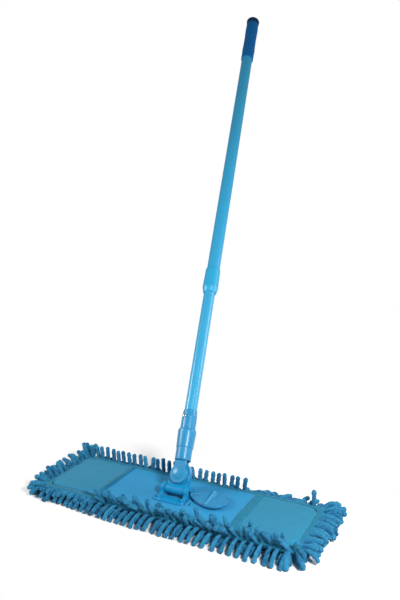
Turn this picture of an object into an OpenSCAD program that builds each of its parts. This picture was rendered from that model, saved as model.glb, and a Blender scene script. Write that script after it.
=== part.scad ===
// Flat floor mop: pocket pad with a deep looped fringe on a folding frame, and a telescopic
// handle on a two-way swivel. Z is up, X runs along the pad and the pad rests on Z = 0.

/* [Pose] */
// Backward lean of the handle from upright, degrees
lean = 37.7; // [20:0.1:60]
// Sideways tilt of the handle, degrees
side_tilt = -7.9; // [-30:0.1:30]

/* [Pad] */
// Length of the pad inside the fringe
pad_l = 404; // [300:1:600]
// Width of the pad inside the fringe
pad_w = 118; // [90:1:160]
// Height of the looped pile under the backing
sole_h = 14; // [8:0.5:25]
// Thickness of the fabric backing
backing_t = 3; // [1.5:0.1:5]
// Height of the hem band above the backing
hem_t = 2.5; // [1:0.1:4]
// Reach of the fringe beyond the hem
fringe_w = 20; // [12:1:45]
// Height of the fringe at its outer edge
fringe_tip_h = 8; // [3:0.5:14]
// Distance of each pocket mouth from the middle
pocket_x = 105; // [60:1:150]
// Thickness of the pocket cloth over the plate
pocket_t = 1.4; // [0.8:0.1:3]
// Width of the binding on a pocket mouth
binding_w = 10; // [5:0.5:15]

/* [Frame] */
// Length of the folding frame
plate_l = 384; // [280:1:580]
// Width of the folding frame
plate_w = 96; // [70:1:140]
// Thickness of the frame plates
plate_t = 3.2; // [2:0.1:5]
// Position of the fold hinge along the frame
fold_x = 26; // [20:1:60]
// Largest fold of the wing, degrees
fold_max = 60; // [30:5:90]
// Radius of the hinge knuckles
knuckle_r = 2.4; // [2:0.1:3]

/* [Pedal] */
// Radius of the pedal's round end
pedal_r = 20.4; // [14:0.1:26]
// Centre of the pedal's round end along X
pedal_x = 59.5; // [50:0.5:75]
// Thickness of the pedal
pedal_t = 2.5; // [1.5:0.1:4]
// Gap under the pedal
pedal_gap = 3.5; // [2.5:0.1:5]
// Height of the tread fin over the pedal at its far end
ridge_h = 6; // [2:0.1:8]

/* [Swivel] */
// Height of the swivel barrel above the plate
barrel_rise = 8.3; // [8.2:0.1:20]
// Radius of the swivel barrel
barrel_r = 6.2; // [5:0.1:9]
// Length of the swivel barrel
barrel_l = 32; // [20:0.5:50]
// Distance from the barrel axis to the ear pin
link = 22.1; // [16:0.1:30]
// Radius of the front clevis ear
ear_r = 13.3; // [8:0.1:16]
// Thickness of the front clevis ear
ear_t = 5.2; // [3:0.1:8]
// Radius of the rear clevis ear
rear_ear_r = 12.8; // [8:0.1:16]
// Thickness of the rear clevis ear
rear_ear_t = 3.5; // [2:0.1:6]
// Tongue in front of the handle's axis
tongue_front = 2; // [1:0.1:6]
// Tongue behind the handle's axis
tongue_back = 6.5; // [3:0.1:8]
// Thickness of the bracket cheeks
cheek_t = 5.7; // [3:0.1:8]

/* [Handle] */
// Distance from the ear pin to the top of the handle
handle_top = 998; // [700:1:1400]
// Outside diameter of the upper tube
upper_od = 22; // [18:0.5:28]
// Outside diameter of the lower tube
lower_od = 19; // [15:0.5:25]
// Wall of both tubes
tube_wall = 1; // [0.6:0.1:2]
// Bottom of the twist collar above the ear pin
collar_z = 302; // [200:1:500]
// Length of the twist collar
collar_l = 47; // [40:1:80]
// Top end of the lower tube above the ear pin
lower_top = 690; // [500:1:800]
// Length of the hand grip
grip_l = 123; // [123:1:180]

/* [Hidden] */
$fn = 64;
gap = 0.3;
run = 0.05;
eps = 0.01;
backing_z = sole_h;
plate_z = sole_h + backing_t + 0.2;
plate_top = plate_z + plate_t;
hem_z = sole_h + backing_t;
hem_in_l = pad_l - 13.6;
hem_in_w = pad_w - 19.6;
hinge_z = plate_z + knuckle_r;
knuckle_pitch = 8.4;
pin_r = 1.25;
wedge = tan(fold_max / 2 + 1.5);
barrel_y = -2;
barrel_z = plate_top + barrel_rise;
axle_r = 3;
axle_nub = 2.8;
ear_pin_r = 4;
flange_t = 1.8;
flange_left = -26;
flange_right = 22.4;
cheek_in = barrel_l / 2 + gap;
cheek_out = cheek_in + cheek_t;
screw_y = 17;
window_half = 15.8;
window_front = -12;
window_back = 6.5;
screw_r = 1.6;
screw_head_r = 3.2;
screw_head_t = 1.6;
pedal_y = 0;
pedal_z = plate_top + pedal_gap;
pivot_x = 50;
pivot_z = plate_top + 3;
pivot_r = 2.6;
pivot_pin_r = 1.25;
spring_x = 68;
socket_z = 20;
socket_top = 66;
socket_floor = 27;
sleeve_top = 95.7;
sleeve_r = 11.4;
front_face = -tongue_front - gap - ear_t;
rear_face = tongue_back + gap + rear_ear_t;
upper_r = upper_od / 2;
lower_r = lower_od / 2;
lower_bore = lower_r - tube_wall;
upper_bore = upper_r - tube_wall;
upper_z = collar_z + 27;
upper_top = handle_top - 12.5;
snap_z = 85;
snap_r = 3;
snap_turn = -22;
grip_z = handle_top - grip_l;

// ---- placing and shared shapes ----

// Frame of the swivel barrel, leaned back with the cross-piece
module at_barrel() {
  translate([0, barrel_y, barrel_z])
    rotate([-lean, 0, 0])
      children();
}

// Frame of the ear pin, with Z up the handle
module at_pin() {
  at_barrel()
    translate([0, 0, link])
      rotate([0, side_tilt, 0])
        children();
}

// Turns a shape's Z axis to point out of the handle's front
module facing_front() {
  rotate([0, 0, snap_turn])
    rotate([90, 0, 0])
      children();
}

// Rounded rectangle centred on the origin
module rounded(l, w, r) {
  square([l - 2 * r, w], center = true);
  square([l, w - 2 * r], center = true);
  for (sx = [-1, 1], sy = [-1, 1])
    translate([sx * (l / 2 - r), sy * (w / 2 - r)])
      circle(r);
}

// Slab of a rounded rectangle from z0 to z1
module slab(l, w, r, z0, z1) {
  translate([0, 0, z0])
    linear_extrude(z1 - z0)
      rounded(l, w, r);
}

// Everything on the fixed side of the fold, cut back under the hinge by half the fold
module fixed_side() {
  intersection() {
    children();
    rotate([90, 0, 0])
      linear_extrude(400, center = true)
        polygon([
          [-300, -5],
          [fold_x - gap - (hinge_z + 5) * wedge, -5],
          [fold_x - gap, hinge_z],
          [fold_x - gap, 60],
          [-300, 60]
        ]);
  }
}

// Everything on the wing's side of the fold
module wing_side() {
  intersection() {
    children();
    rotate([90, 0, 0])
      linear_extrude(400, center = true)
        polygon([
          [300, -5],
          [fold_x + gap + (hinge_z + 5) * wedge, -5],
          [fold_x + gap, hinge_z],
          [fold_x + gap, 60],
          [300, 60]
        ]);
  }
}

// Cylinder along Y, centred on y
module rod_y(x, y, z, r, l) {
  translate([x, y + l / 2, z])
    rotate([90, 0, 0])
      cylinder(h = l, r = r);
}

// ---- handle ----

// Soft hand grip with shallow swells for the fingers
module grip() {
  color("#1a5a94")
    at_pin()
      rotate_extrude()
        polygon([
          [upper_r, grip_z],
          [12.4, grip_z],
          [12.8, grip_z + 1.5],
          [12.9, grip_z + 8],
          [12.7, grip_z + 15],
          [12.9, grip_z + 21],
          [13.2, grip_z + 26],
          [13.2, grip_z + 29],
          [13, grip_z + 34],
          [12.7, grip_z + 45],
          [12.6, grip_z + 60],
          [12.8, grip_z + 74],
          [13.1, grip_z + 86],
          [13.2, grip_z + 95],
          [13, grip_z + 101],
          [12.7, grip_z + 107],
          [12.7, grip_z + 111],
          [upper_r, grip_z + 111]
        ]);
}

// Flared, flat-ended cap with a plug that closes the tube
module grip_cap() {
  color("#1d6099")
    at_pin() {
      translate([0, 0, grip_z + 111])
        rotate_extrude()
          polygon([
            [0, 0],
            [12.8, 0],
            [12.9, 2],
            [13.3, 6],
            [13.7, 10],
            [13.8, 11.2],
            [13.5, 11.8],
            [12, 12],
            [0, 12]
          ]);
      translate([0, 0, grip_z + 95])
        cylinder(h = 16 + eps, r = upper_bore);
    }
}

// Outer tube of the handle
module upper_tube() {
  color("#3f97cc")
    at_pin()
      translate([0, 0, upper_z])
        difference() {
          cylinder(h = upper_top - upper_z, r = upper_r);
          translate([0, 0, -eps])
            cylinder(h = upper_top - upper_z + 2 * eps, r = upper_bore);
        }
}

// Twist collar that locks the two tubes, turned about the handle
module twist_collar() {
  color("#37b2df")
    at_pin()
      translate([0, 0, collar_z])
        rotate_extrude()
          polygon([
            [lower_r + run, 0],
            [10.6, 0],
            [11.2, 0.5],
            [12.6, 6],
            [13.2, 8.6],
            [13.35, 10.4],
            [13.35, 13],
            [13.1, 14],
            [13.15, 15],
            [12.9, 28],
            [12.6, collar_l - 4],
            [12.5, collar_l - 1.6],
            [12.1, collar_l - 0.5],
            [11.6, collar_l],
            [upper_r + run, collar_l],
            [upper_r + run, 5],
            [lower_r + run, 5]
          ]);
}

// Split clamping ring inside the collar, fixed to the end of the upper tube
module collet() {
  color("#e8e8e4")
    at_pin()
      translate([0, 0, collar_z + 5.4])
        difference() {
          cylinder(h = upper_z - collar_z - 5.4, r = upper_r);
          translate([0, 0, -eps])
            cylinder(h = collar_l, r = lower_r + run);
          translate([0, -0.8, -eps])
            cube([20, 1.6, 16]);
          for (z = [5, 10, 15])
            translate([0, 0, z])
              difference() {
                cylinder(h = 1.2, r = upper_r + 1);
                cylinder(h = 1.2, r = upper_r - 0.4);
              }
        }
}

// Inner tube of the handle, with a hole for the snap button
module lower_tube() {
  color("#55bce8")
    at_pin()
      difference() {
        translate([0, 0, socket_floor])
          cylinder(h = lower_top - socket_floor, r = lower_r);
        translate([0, 0, socket_floor - eps])
          cylinder(h = lower_top, r = lower_bore);
        translate([0, 0, snap_z])
          facing_front()
            cylinder(h = 20, r = snap_r + run);
      }
}

// Plug that guides the inner tube's end inside the outer tube
module guide_plug() {
  color("#202224")
    at_pin() {
      translate([0, 0, lower_top - 14])
        cylinder(h = 14 + eps, r = lower_bore);
      translate([0, 0, lower_top])
        cylinder(h = 12, r = upper_bore - run);
      translate([0, 0, lower_top + 12])
        cylinder(h = 2, r1 = upper_bore - run, r2 = upper_bore - 1.5);
    }
}

// Collar on the lower tube above the socket
module tube_sleeve() {
  color("#4fb0dd")
    at_pin()
      difference() {
        translate([0, 0, socket_top])
          rotate_extrude()
            polygon([
              [lower_r, 0],
              [sleeve_r - 0.3, 0],
              [sleeve_r, 1],
              [sleeve_r, sleeve_top - socket_top - 10],
              [sleeve_r - 0.9, sleeve_top - socket_top - 1],
              [sleeve_r - 1.3, sleeve_top - socket_top],
              [lower_r, sleeve_top - socket_top]
            ]);
        translate([0, 0, snap_z])
          facing_front()
            cylinder(h = 20, r = snap_r + run);
      }
}

// Metal snap button that holds the tube in its socket
module snap_button() {
  color("#b9aca0")
    at_pin()
      translate([0, 0, snap_z])
        facing_front()
          rotate_extrude()
            polygon([
              [0, 5.6],
              [3.9, 5.6],
              [3.9, 7.2],
              [snap_r, 7.2],
              [snap_r, 11.5],
              [2.8, 12.1],
              [2.2, 12.7],
              [1.2, 13.1],
              [0, 13.2]
            ]);
}

// Bent leaf spring behind the snap button
module snap_spring() {
  color("#9aa0a6")
    at_pin()
      rotate([0, 0, snap_turn])
        translate([-3, 0, 0])
          rotate([90, 0, 90])
            linear_extrude(6)
              polygon([
                [7.8, 110],
                [7.8, 74],
                [6.4, 72],
                [-1, 72],
                [-2.3, 73.5],
                [-2.3, 96],
                [-1.8, 96],
                [-1.8, 74],
                [-0.8, 72.5],
                [6.1, 72.5],
                [7.3, 74.2],
                [7.3, 110]
              ]);
}

// Outline of one clevis ear, standing in the ear pin's frame
module ear_outline(r, half_neck) {
  circle(r);
  translate([-half_neck, 0])
    square([2 * half_neck, socket_z + 1]);
}

// Handle socket ending in a clevis of two ears, the front one domed
module socket() {
  dome_r = 26;
  dome_rise = 1.8;
  color("#4aa6d6")
    at_pin()
      difference() {
        union() {
          rotate_extrude()
            polygon([
              [0, socket_z],
              [11.6, socket_z],
              [12, socket_z + 0.5],
              [12, socket_z + 1.6],
              [11.8, socket_z + 2.2],
              [12, socket_z + 17.6],
              [12.2, socket_z + 18.2],
              [12.7, socket_z + 18.9],
              [13.6, socket_top - 8],
              [13.75, socket_top - 4],
              [13.5, socket_top - 1.4],
              [12.9, socket_top],
              [0, socket_top]
            ]);
          translate([0, front_face + ear_t, 0])
            rotate([90, 0, 0])
              linear_extrude(ear_t)
                ear_outline(ear_r, 8.6);
          translate([0, rear_face, 0])
            rotate([90, 0, 0])
              linear_extrude(rear_ear_t)
                ear_outline(rear_ear_r, 6);
          intersection() {
            translate([0, front_face - dome_rise + dome_r, 0])
              sphere(dome_r, $fn = 96);
            rotate([90, 0, 0])
              cylinder(h = 20, r = ear_r - 1.5);
            translate([-20, -20, -20])
              cube([40, 20 + front_face + ear_t, 40]);
          }
        }
        translate([0, 0, socket_floor])
          cylinder(h = socket_top, r = lower_r);
        translate([0, 20, 0])
          rotate([90, 0, 0])
            cylinder(h = 25.5, r = ear_pin_r);
      }
}

// Rivet that joins the clevis to the tongue
module ear_pin() {
  color("#3d4145")
    at_pin()
      translate([0, rear_face, 0])
        rotate([90, 0, 0]) {
          cylinder(h = rear_face + 5.5, r = ear_pin_r);
          translate([0, 0, -1.8])
            rotate_extrude()
              polygon([[0, 0], [4.4, 0], [5.8, 0.7], [6.2, 1.8], [0, 1.8]]);
        }
}

// ---- swivel ----

// Cross-piece: barrel across the bracket and a wide round-topped tongue up into the clevis
module cross_piece() {
  tongue = [
    [15.9, 0],
    [15.9, link - 5],
    [15.6, link],
    [15, link + 4.4],
    [14, link + 8],
    [12.4, link + 11.3],
    [9.8, link + 14.2],
    [6.4, link + 16.2],
    [2.2, link + 17]
  ];
  color("#2f9bd8")
    at_barrel()
      difference() {
        union() {
          translate([-barrel_l / 2, 0, 0])
            rotate([0, 90, 0])
              cylinder(h = barrel_l, r = barrel_r);
          translate([0, tongue_back, 0])
            rotate([90, 0, 0])
              linear_extrude(tongue_front + tongue_back)
                for (s = [-1, 1])
                  polygon(concat([for (v = tongue) [s * v[0], v[1]]], [[0, link + 17], [0, 0]]));
          translate([-15.9, 0, 0])
            rotate([90, 0, 90])
              linear_extrude(31.8)
                polygon([
                  [-barrel_r, 0],
                  [-5.7, 2.6],
                  [-4.4, 4.6],
                  [-3, 6.4],
                  [-tongue_front, 8],
                  [-tongue_front, 10],
                  [tongue_back, 10],
                  [tongue_back, 2],
                  [barrel_r, 0]
                ]);
        }
        translate([-30, 0, 0])
          rotate([0, 90, 0])
            cylinder(h = 60, r = axle_r + run);
        translate([0, 20, link])
          rotate([90, 0, 0])
            cylinder(h = 40, r = ear_pin_r + run);
      }
}

// Steel axle through the bracket and the barrel, with one end standing out
module axle() {
  color("#35393d")
    translate([-cheek_out - axle_nub, barrel_y, barrel_z])
      rotate([0, 90, 0])
        rotate_extrude()
          polygon([
            [0, 0],
            [2.2, 0],
            [axle_r, 0.9],
            [axle_r, 2 * cheek_out + axle_nub],
            [2.4, 2 * cheek_out + axle_nub + 0.5],
            [0, 2 * cheek_out + axle_nub + 0.5]
          ]);
}

// Bracket with two cheeks that hold the axle
module bracket() {
  fl = flange_right - flange_left;
  color("#2a9be0")
    difference() {
      union() {
        translate([(flange_left + flange_right) / 2, barrel_y, plate_top])
          linear_extrude(flange_t)
            rounded(fl, 50, 5);
        for (x = [-cheek_out, cheek_in])
          translate([x, barrel_y, barrel_z])
            rotate([90, 0, 90])
              linear_extrude(cheek_t) {
                circle(8.4);
                polygon([
                  [-8.4, 0],
                  [8.4, 0],
                  [9, -2.6],
                  [10.6, -5],
                  [13.6, -barrel_rise + flange_t - eps],
                  [-13.6, -barrel_rise + flange_t - eps],
                  [-10.6, -5],
                  [-9, -2.6]
                ]);
              }
        translate([-cheek_out - 1, barrel_y, barrel_z])
          rotate([0, 90, 0])
            cylinder(h = 1.2, r1 = 5.2, r2 = 6);
        for (x = [-19, 19], y = [-screw_y, screw_y])
          translate([x, barrel_y + y, plate_top])
            cylinder(h = 5, r1 = 3.4, r2 = 3);
      }
      translate([-40, barrel_y, barrel_z])
        rotate([0, 90, 0])
          cylinder(h = 80, r = axle_r);
      translate([-window_half, window_front, plate_top - 1])
        cube([2 * window_half, window_back - window_front, flange_t + 2]);
      for (x = [-19, 19], y = [-screw_y, screw_y])
        translate([x, barrel_y + y, plate_top - eps])
          cylinder(h = 4, r = screw_r);
    }
}

// Four screws from under the frame into the bracket
module bracket_screws() {
  color("#a7abb0")
    for (x = [-19, 19], y = [-screw_y, screw_y])
      translate([x, barrel_y + y, plate_z]) {
        cylinder(h = screw_head_t, r = screw_head_r);
        cylinder(h = plate_t + 3.6, r = screw_r);
      }
}

// ---- folding frame ----

// Whole frame outline before it is split at the fold
module frame_blank() {
  slab(plate_l, plate_w, 14, plate_z, plate_top);
}

// Shallow recesses that leave stiffening ribs under a plate
module rib_recesses(x0, x1, count) {
  cell = (x1 - x0) / count;
  for (i = [0 : count - 1], sy = [-1, 1])
    translate([x0 + i * cell + 1.5, sy > 0 ? 4 : -38, plate_z - eps])
      cube([cell - 3, 34, 1.2]);
}

// One row of hinge knuckles, joined to a plate edge on one side
module knuckles(rows, dir, bore) {
  for (i = rows)
    difference() {
      union() {
        rod_y(fold_x, i * knuckle_pitch, hinge_z, knuckle_r, knuckle_pitch - 0.4);
        translate([dir > 0 ? fold_x : fold_x - 5, i * knuckle_pitch - knuckle_pitch / 2 + 0.2,
          plate_z + (dir > 0 ? 0.4 : 0)])
          cube([5, knuckle_pitch - 0.4, plate_t - (dir > 0 ? 0.4 : 0)]);
      }
      rod_y(fold_x, i * knuckle_pitch, hinge_z, bore, knuckle_pitch);
    }
}

// Fixed plate of the frame, under the swivel
module base_plate() {
  color("#4296cc")
    difference() {
      union() {
        difference() {
          fixed_side()
            frame_blank();
          translate([fold_x - 4.6, -2.5 * knuckle_pitch - 0.3, plate_z - 1])
            cube([10, 5 * knuckle_pitch + 0.6, plate_t + 2]);
          rib_recesses(-186, -34, 5);
        }
        knuckles([-2, 0, 2], -1, pin_r);
      }
      translate([-window_half, window_front, plate_top - 2.2])
        cube([2 * window_half, window_back - window_front, 5]);
      for (x = [-19, 19], y = [-screw_y, screw_y])
        translate([x, barrel_y + y, plate_z - eps]) {
          cylinder(h = plate_t + 1, r = screw_r);
          cylinder(h = screw_head_t + eps, r = screw_head_r);
        }
    }
}

// Folding plate of the frame, with lugs for the pedal
module wing_plate() {
  color("#4296cc")
    difference() {
      union() {
        difference() {
          wing_side()
            frame_blank();
          translate([fold_x - 5.4, -2.5 * knuckle_pitch - 0.3, plate_z - 1])
            cube([10, 5 * knuckle_pitch + 0.6, plate_t + 2]);
          rib_recesses(36, 186, 5);
        }
        knuckles([-1, 1], 1, pin_r + run);
        for (s = [-1, 1]) {
          rod_y(pivot_x, pedal_y + s * 11.5, pivot_z, pivot_r, 3);
          translate([pivot_x - pivot_r, pedal_y + s * 11.5 - 1.5, plate_top - 1])
            cube([2 * pivot_r, 3, 1 + pivot_z - plate_top]);
        }
      }
      rod_y(pivot_x, pedal_y, pivot_z, pivot_pin_r, 60);
    }
}

// Pin of the fold hinge
module hinge_pin() {
  color("#8d9298")
    rod_y(fold_x, 0, hinge_z, pin_r, 5 * knuckle_pitch - 0.4);
}

// Plan outline of the release pedal, a teardrop with its point over the fold
module pedal_outline(grow) {
  half = [
    [23.4, 3.4],
    [27, 6],
    [31, 8.8],
    [36, 12],
    [41, 14.8],
    [47, 17.4],
    [53, 19.2],
    [pedal_x, pedal_r]
  ];
  translate([pedal_x, pedal_y])
    circle(pedal_r + grow);
  translate([0, pedal_y])
    for (s = [-1, 1])
      polygon(concat(
        [[half[0][0] - grow, 0]],
        [for (v = half) [v[0] - grow, s * (v[1] + grow)]],
        [[pedal_x - grow, 0]]
      ));
}

// Tread fin that grows from the near side of the pedal to the far side, above height z
module tread_fin(z) {
  intersection() {
    translate([0, pedal_y - 17, z + 0.8])
      rotate([9.5, 0, 0])
        translate([0, 40, 0])
          rotate([90, 0, 0])
            linear_extrude(46)
              polygon([
                [47.9, -10],
                [48.6, -6],
                [50.4, -2.6],
                [52, -0.7],
                [53, -0.1],
                [53.8, 0],
                [54.6, -0.4],
                [55.6, -2],
                [57, -5],
                [58, -8],
                [58.2, -10]
              ]);
    translate([40, pedal_y, z])
      rotate([90, 0, 90])
        linear_extrude(30)
          polygon([
            [-18, -1],
            [-18, 0.4],
            [-16.6, 1.2],
            [8, 8],
            [12.2, ridge_h],
            [14.6, ridge_h - 1],
            [16, ridge_h - 3],
            [16.3, -1]
          ]);
  }
}

// Foot pedal: a rocker with a raised rim, a tread fin and a nose over the fold
module pedal() {
  top = pedal_z + pedal_t;
  color("#3a92cf")
    difference() {
      union() {
        translate([0, 0, pedal_z])
          linear_extrude(pedal_t)
            pedal_outline(0);
        translate([0, 0, top - eps])
          linear_extrude(0.8)
            difference() {
              pedal_outline(0);
              pedal_outline(-1.4);
            }
        tread_fin(top);
        for (s = [-1, 1])
          rod_y(pivot_x, pedal_y + s * 6.5, pivot_z, pivot_r, 6);
        translate([23.4, pedal_y - 3, hinge_z + knuckle_r + gap])
          cube([2.1, 6, pedal_z - hinge_z - knuckle_r]);
      }
      rod_y(pivot_x, pedal_y, pivot_z, pivot_pin_r + run, 60);
      for (s = [-1, 1])
        rod_y(pivot_x, pedal_y + s * 11.5, pivot_z, pivot_r + gap, 3.6);
    }
}

// Pin of the pedal
module pedal_pin() {
  color("#8d9298")
    rod_y(pivot_x, pedal_y, pivot_z, pivot_pin_r, 25.8);
}

// Small pleated spring between the wing and the pedal
module pedal_spring() {
  h = pedal_gap - 0.04;
  color("#9aa0a6")
    translate([spring_x, pedal_y, plate_top + 0.02])
      rotate_extrude()
        polygon([
          [3, 0],
          [5, 0],
          [5, 0.4],
          [3.6, h / 3],
          [5, 2 * h / 3],
          [3.6, h - 0.4],
          [3.6, h],
          [3, h],
          [3, h - 0.5],
          [4.3, 2 * h / 3],
          [3, h / 3]
        ]);
}

// ---- pad ----

// Fabric backing under the frame, whole
module backing_blank() {
  slab(pad_l, pad_w, 16, backing_z, hem_z);
}

module backing_left() {
  color("#4a8fa8")
    fixed_side()
      backing_blank();
}

module backing_right() {
  color("#4a8fa8")
    wing_side()
      backing_blank();
}

// Looped pile that touches the floor, whole
module sole_blank() {
  slab(pad_l, pad_w, 16, 0, sole_h);
}

module sole_left() {
  color("#2f6a9e")
    fixed_side()
      sole_blank();
}

module sole_right() {
  color("#2f6a9e")
    wing_side()
      sole_blank();
}

// Hem band round the pad, whole
module hem_blank() {
  difference() {
    slab(pad_l, pad_w, 16, hem_z, hem_z + hem_t);
    slab(hem_in_l, hem_in_w, 15, hem_z - 1, hem_z + hem_t + 1);
  }
}

module hem_left() {
  color("#3f8f96")
    fixed_side()
      hem_blank();
}

module hem_right() {
  color("#3f8f96")
    wing_side()
      hem_blank();
}

// Fringe round the pad's four sides, falling away to its outer edge, whole
module fringe_blank() {
  steps = 3;
  difference() {
    union() {
      slab(pad_l + 2 * fringe_w, pad_w + 2 * fringe_w, 34, 0, fringe_tip_h);
      for (i = [1 : steps])
        slab(pad_l + 2 * fringe_w * (1 - i / (steps + 1)), pad_w + 2 * fringe_w * (1 - i / (steps + 1)),
          34 - 4 * i, fringe_tip_h - eps, fringe_tip_h + i * (hem_z - fringe_tip_h) / steps);
    }
    slab(pad_l, pad_w, 16, -1, hem_z + 5);
  }
}

module fringe_left() {
  color("#3a78ac")
    fixed_side()
      fringe_blank();
}

module fringe_right() {
  color("#3a78ac")
    wing_side()
      fringe_blank();
}

// Cloth pocket over one end of the frame, on the +X side
module pocket_blank() {
  intersection() {
    difference() {
      slab(hem_in_l - 0.4, hem_in_w - 0.4, 15, hem_z, plate_top + 0.2 + pocket_t);
      slab(plate_l + 0.4, plate_w + 0.4, 14.2, hem_z - 1, plate_top + 0.2);
    }
    translate([pocket_x, -100, 0])
      cube([200, 200, 60]);
  }
}

module pocket_left() {
  color("#4b93a4")
    mirror([1, 0, 0])
      pocket_blank();
}

module pocket_right() {
  color("#4b93a4")
    pocket_blank();
}

// Binding tape on a pocket's mouth, on the +X side
module binding_blank() {
  top = plate_top + 0.2 + pocket_t;
  translate([pocket_x, 0, 0])
    rotate([90, 0, 0])
      linear_extrude(hem_in_w - 4, center = true)
        polygon([
          [-1.2, plate_top + 0.2],
          [0, plate_top + 0.2],
          [0, top],
          [binding_w, top],
          [binding_w, top + 0.5],
          [binding_w - 0.5, top + 0.8],
          [0, top + 0.9],
          [-0.9, top + 0.6],
          [-1.2, top]
        ]);
}

module binding_left() {
  color("#3f8f96")
    mirror([1, 0, 0])
      binding_blank();
}

module binding_right() {
  color("#3f8f96")
    binding_blank();
}

// ---- assembly ----

grip();
grip_cap();
upper_tube();
twist_collar();
collet();
lower_tube();
guide_plug();
tube_sleeve();
snap_button();
snap_spring();
socket();
ear_pin();
cross_piece();
axle();
bracket();
bracket_screws();
base_plate();
wing_plate();
hinge_pin();
pedal();
pedal_pin();
pedal_spring();
backing_left();
backing_right();
sole_left();
sole_right();
hem_left();
hem_right();
fringe_left();
fringe_right();
pocket_left();
pocket_right();
binding_left();
binding_right();
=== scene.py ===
import bpy
import math
import random
from collections import namedtuple
from mathutils import Matrix, Vector, noise


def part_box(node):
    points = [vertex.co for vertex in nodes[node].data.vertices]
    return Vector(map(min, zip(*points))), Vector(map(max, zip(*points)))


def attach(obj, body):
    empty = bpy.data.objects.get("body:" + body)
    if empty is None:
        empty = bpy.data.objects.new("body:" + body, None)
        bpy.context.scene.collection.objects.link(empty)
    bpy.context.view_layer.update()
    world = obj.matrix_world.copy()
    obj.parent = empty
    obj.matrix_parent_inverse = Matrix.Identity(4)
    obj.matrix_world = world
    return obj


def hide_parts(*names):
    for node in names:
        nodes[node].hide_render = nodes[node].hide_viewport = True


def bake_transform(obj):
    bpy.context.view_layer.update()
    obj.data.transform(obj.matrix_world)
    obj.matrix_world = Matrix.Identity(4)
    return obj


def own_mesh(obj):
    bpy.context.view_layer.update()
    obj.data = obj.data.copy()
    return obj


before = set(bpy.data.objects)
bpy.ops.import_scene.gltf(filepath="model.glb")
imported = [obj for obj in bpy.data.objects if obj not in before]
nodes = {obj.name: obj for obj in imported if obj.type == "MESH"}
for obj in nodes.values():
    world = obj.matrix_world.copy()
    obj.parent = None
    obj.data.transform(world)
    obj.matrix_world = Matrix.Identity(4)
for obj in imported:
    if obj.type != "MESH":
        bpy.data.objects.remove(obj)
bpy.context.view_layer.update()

# ---------------------------------------------------------------- sizes in metres, mostly from the CAD
UP = Vector((0, 0, 1))
BACK_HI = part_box("backing_right")[1]
HALF_L, HALF_W = BACK_HI.x, BACK_HI.y    # half length and half width of the pad inside its fringe
BACK_Z0, BACK_Z1 = (corner.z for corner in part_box("backing_left"))
HEM_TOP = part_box("hem_left")[1].z
POCKET_LO, POCKET_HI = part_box("pocket_right")
POCKET_X = POCKET_LO.x                   # the pockets' mouths
POCKET_HW = POCKET_HI.y                  # half width of a pocket
POCKET_DEPTH = POCKET_HI.x - POCKET_X
PLATE_TOP = POCKET_HI.z - 0.0016         # the pockets' cloth rises this far over the plates
SEAM_Z = BACK_Z1 + 0.0012                # where the pockets' sides are sewn down
R_PAD = 0.016                            # the pad's corner radius
FLOOR_GAP = 0.0002                       # nothing goes lower than this


# ---------------------------------------------------------------- camera
CAMERA_AT = (0.4132, -0.6940, 0.4310)
CAMERA_YAW, CAMERA_PITCH, CAMERA_ROLL = 28.03, 9.05, 1.11
CAMERA_LENS = 36.03


def set_camera():
    yaw, pitch, roll = (math.radians(a) for a in (CAMERA_YAW, CAMERA_PITCH, CAMERA_ROLL))
    ahead = Vector((-math.sin(yaw) * math.cos(pitch), math.cos(yaw) * math.cos(pitch), -math.sin(pitch)))
    level = Vector((math.cos(yaw), math.sin(yaw), 0))
    down = ahead.cross(level)
    right = level * math.cos(roll) + down * math.sin(roll)
    down = -level * math.sin(roll) + down * math.cos(roll)
    cam = bpy.data.objects.new("camera", bpy.data.cameras.new("camera"))
    bpy.context.scene.collection.objects.link(cam)
    place = Matrix((right, -down, -ahead)).transposed().to_4x4()
    place.translation = Vector(CAMERA_AT)
    cam.matrix_world = place
    cam.data.sensor_width = 36
    cam.data.lens = CAMERA_LENS
    cam.data.clip_start, cam.data.clip_end = 0.05, 20
    bpy.context.scene.camera = cam


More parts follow.
